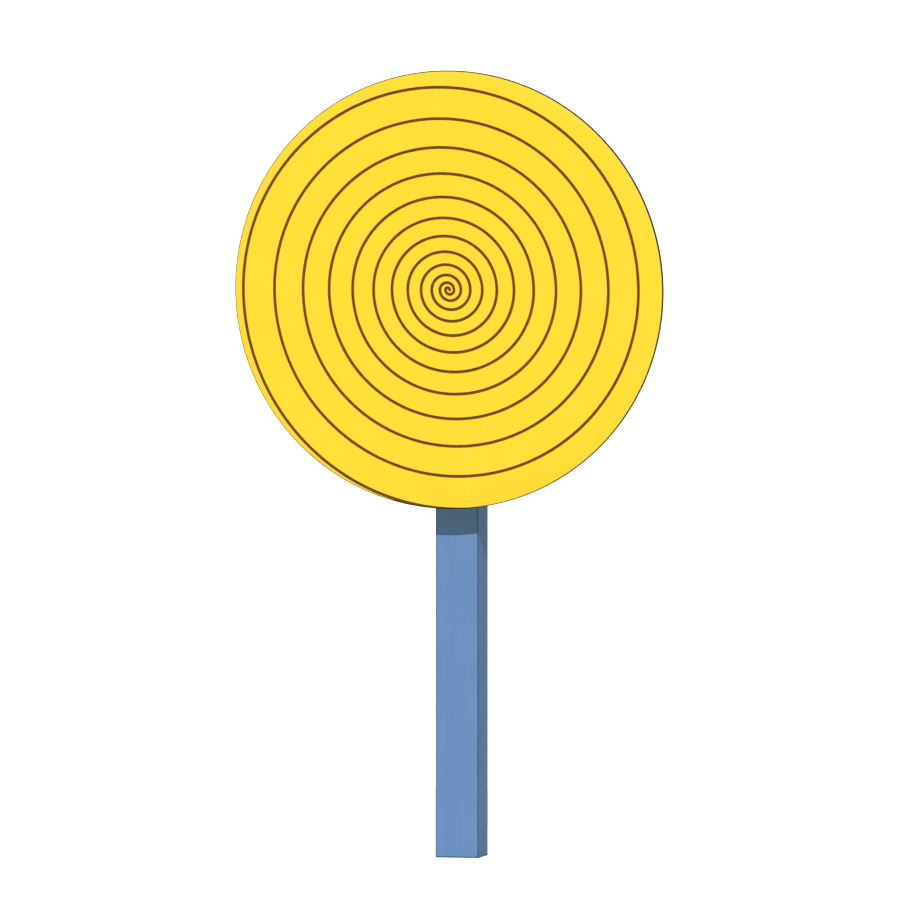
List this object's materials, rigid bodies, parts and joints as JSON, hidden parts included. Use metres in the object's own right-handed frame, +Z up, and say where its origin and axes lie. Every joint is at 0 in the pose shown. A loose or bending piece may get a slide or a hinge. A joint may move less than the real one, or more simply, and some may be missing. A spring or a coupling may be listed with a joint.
{
  "type": "spinning play disc on a post",
  "caption": "Round play disc with a spiral groove that spins on a ball-bearing hub in front of a square painted timber post.",
  "frame": {"origin": "centre of the post's foot, in the plane of the ground", "axes": "+Z up along the post, -Y out of the front of the disc along the axle, +X to the right seen from the front"},
  "size_m": [0.8999, 0.187, 1.622],
  "materials": {
    "blue_paint": "opaque blue paint on laminated pine, satin",
    "yellow_decor": "yellow decor layer of compact laminate, satin",
    "laminate_core": "brown core of compact laminate, matte",
    "hub_aluminium": "turned, satin",
    "galvanised_steel": "hot-dip galvanised, matte",
    "stainless_steel": "stainless, satin",
    "turned_steel": "turned, satin",
    "spring_steel": "phosphated, matte",
    "bearing_steel": "ground, polished",
    "insert_brass": "turned, satin",
    "seal_rubber": "moulded, matte",
    "cage_plastic": "moulded, matte",
    "cap_plastic": "moulded, matte"
  },
  "bodies": {
    "post": {"post": "blue_paint", "foot_plate": "galvanised_steel", "anchor_bar": "galvanised_steel", "post_cap": "cap_plastic", "cap_screw": "stainless_steel", "axle_plate": "galvanised_steel", "axle_shaft": "turned_steel", "plate_bolts": "stainless_steel", "plate_washers": "stainless_steel", "rear_washers": "stainless_steel", "rear_nuts": "stainless_steel", "axle_seal": "seal_rubber", "inner_spacer": "turned_steel", "lock_washer": "turned_steel", "lock_nut": "turned_steel", "front_bearing_inner_ring": "bearing_steel", "rear_bearing_inner_ring": "bearing_steel"},
    "disc": {"disc_core": "laminate_core", "disc_front_face": "yellow_decor", "disc_rear_face": "yellow_decor", "disc_inserts": "insert_brass", "hub": "hub_aluminium", "flange_bolts": "stainless_steel", "flange_washers": "stainless_steel", "front_circlip": "spring_steel", "rear_circlip": "spring_steel", "front_bearing_outer_ring": "bearing_steel", "rear_bearing_outer_ring": "bearing_steel", "front_bearing_seals": "seal_rubber", "rear_bearing_seals": "seal_rubber"},
    "front_ball_set": {"front_bearing_balls": "bearing_steel", "front_bearing_cage": "cage_plastic"},
    "rear_ball_set": {"rear_bearing_balls": "bearing_steel", "rear_bearing_cage": "cage_plastic"}
  },
  "joints": [
    {"name": "disc_spin", "type": "hinge", "parent": "post", "child": "disc", "pos_m": [0, -0.09, 1.172], "axis": [0, -1, 0], "continuous": true},
    {"name": "front_balls_spin", "type": "hinge", "parent": "post", "child": "front_ball_set", "pos_m": [0, -0.0915, 1.172], "axis": [0, -1, 0], "continuous": true},
    {"name": "rear_balls_spin", "type": "hinge", "parent": "post", "child": "rear_ball_set", "pos_m": [0, -0.0685, 1.172], "axis": [0, -1, 0], "continuous": true}
  ],
  "couplings": [
    {"joint": "front_balls_spin", "follows": "disc_spin", "ratio": 0.6},
    {"joint": "rear_balls_spin", "follows": "disc_spin", "ratio": 0.6}
  ]
}
